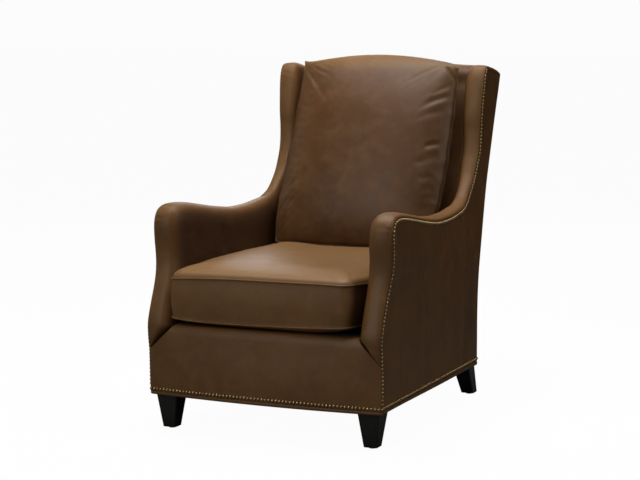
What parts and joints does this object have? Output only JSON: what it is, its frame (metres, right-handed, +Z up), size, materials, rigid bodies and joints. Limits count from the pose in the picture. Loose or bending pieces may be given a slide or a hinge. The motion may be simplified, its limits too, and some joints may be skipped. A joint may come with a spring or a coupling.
{
  "type": "wingback armchair",
  "caption": "Leather wingback armchair with scrolled arms, nailed edges, a loose seat cushion, a loose back pillow and tapered legs.",
  "frame": {"origin": "middle of the chair's box seen from above, on the floor", "axes": "+Z up, -Y the way the chair faces, +X the right-hand side as a viewer in front sees it"},
  "size_m": [0.7556, 1.0536, 1.067],
  "materials": {
    "leather": "waxed, pull-up",
    "cushion_leather": "waxed, pull-up, soft sheen",
    "leg_wood": "black satin lacquer",
    "frame_wood": "bare hardwood",
    "nails": "antiqued",
    "steel": "bare wire and bolts",
    "glide": "matt",
    "cloth": "woven black lining",
    "webbing": "jute webbing"
  },
  "bodies": {
    "chair": {"outside_arm_panel_left": "leather", "outside_arm_panel_right": "leather", "outside_wing_panel_left": "leather", "outside_wing_panel_right": "leather", "arm_roll_left": "leather", "arm_roll_right": "leather", "wing_roll_left": "leather", "wing_roll_right": "leather", "inside_arm_pad_left": "leather", "inside_arm_pad_right": "leather", "inside_wing_pad_left": "leather", "inside_wing_pad_right": "leather", "front_apron": "leather", "crest_pad": "leather", "inside_back_pad": "leather", "outside_back_panel": "leather", "base_welt": "leather", "arm_post_left": "frame_wood", "arm_post_right": "frame_wood", "arm_rail_left": "frame_wood", "arm_rail_right": "frame_wood", "wing_post_left": "frame_wood", "wing_post_right": "frame_wood", "back_post_left": "frame_wood", "back_post_right": "frame_wood", "side_rail_left": "frame_wood", "side_rail_right": "frame_wood", "front_rail": "frame_wood", "back_rail": "frame_wood", "crest_rail": "frame_wood", "lower_back_rail": "frame_wood", "nail_row_left": "nails", "nail_row_right": "nails", "nail_row_base": "nails", "back_webbing": "webbing", "seat_deck": "cloth", "dust_cover": "cloth", "seat_spring_1": "steel", "seat_spring_2": "steel", "seat_spring_3": "steel", "seat_spring_4": "steel", "seat_spring_5": "steel", "front_left_leg": "leg_wood", "front_left_corner_block": "frame_wood", "front_left_leg_bolt": "steel", "front_left_glide": "glide", "front_right_leg": "leg_wood", "front_right_corner_block": "frame_wood", "front_right_leg_bolt": "steel", "front_right_glide": "glide", "rear_left_leg": "leg_wood", "rear_left_corner_block": "frame_wood", "rear_left_leg_bolt": "steel", "rear_left_glide": "glide", "rear_right_leg": "leg_wood", "rear_right_corner_block": "frame_wood", "rear_right_leg_bolt": "steel", "rear_right_glide": "glide"},
    "seat_cushion": {"seat_cushion": "cushion_leather"},
    "back_pillow": {"back_pillow": "cushion_leather"}
  },
  "joints": [
    {"name": "seat_cushion_slide", "type": "slide", "parent": "chair", "child": "seat_cushion", "axis": [0, -1, 0], "range_m": [0, 0.7]},
    {"name": "back_pillow_lift", "type": "slide", "parent": "chair", "child": "back_pillow", "axis": [0, 0, 1], "range_m": [0, 0.6]}
  ]
}
